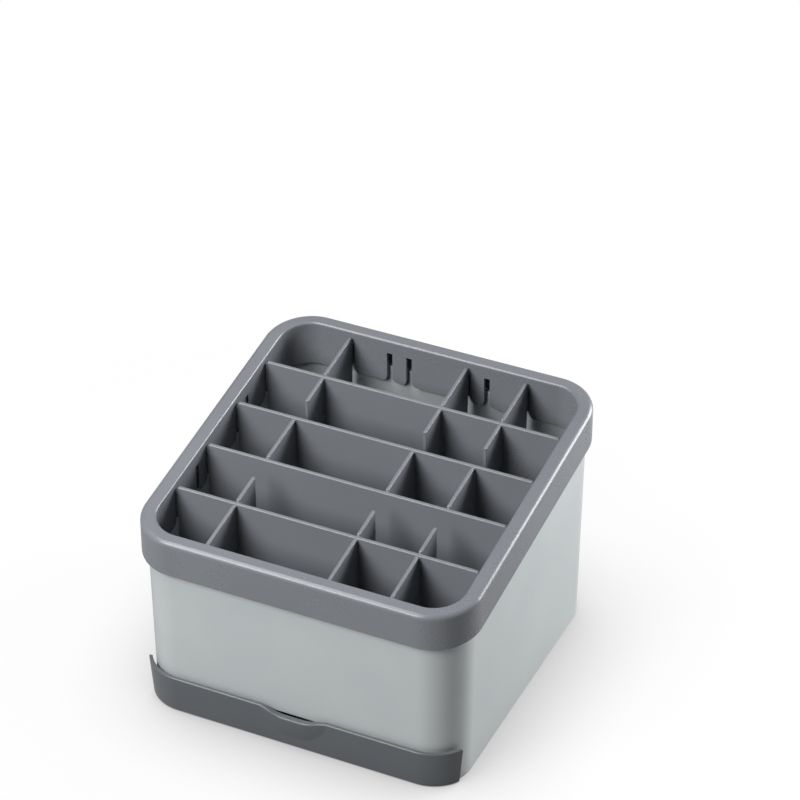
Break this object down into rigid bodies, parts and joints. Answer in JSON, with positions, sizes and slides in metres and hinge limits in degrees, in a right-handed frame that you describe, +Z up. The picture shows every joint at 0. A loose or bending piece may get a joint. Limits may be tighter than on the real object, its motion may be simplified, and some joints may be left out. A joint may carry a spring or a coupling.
{
  "type": "utensil organizer",
  "caption": "Square worktop holder for kitchen utensils: sloping rim with clip-in dividers, tapered housing and a pull-out drip tray at the foot.",
  "frame": {"origin": "on the table, under the middle of the rim", "axes": "+X to the right seen from the front, +Y to the back, where the rim is higher, +Z up"},
  "size_m": [0.1996, 0.199, 0.1452],
  "materials": {
    "housing_plastic": "light grey, satin",
    "plate_plastic": "light grey, satin",
    "rim_plastic": "mid grey, satin",
    "divider_plastic": "mid grey, satin",
    "tray_plastic": "dark grey, satin"
  },
  "bodies": {
    "base": {"housing": "housing_plastic", "drain_plate": "plate_plastic"},
    "insert": {"rim_frame": "rim_plastic", "front_divider": "divider_plastic", "middle_divider": "divider_plastic", "back_divider": "divider_plastic"},
    "tray": {"drip_tray": "tray_plastic"}
  },
  "joints": [
    {"name": "tray_slide", "type": "slide", "parent": "base", "child": "tray", "axis": [0, -1, 0], "range_m": [0, 0.19]},
    {"name": "insert_lift", "type": "slide", "parent": "base", "child": "insert", "axis": [0, 0, 1], "range_m": [0, 0.075]}
  ]
}
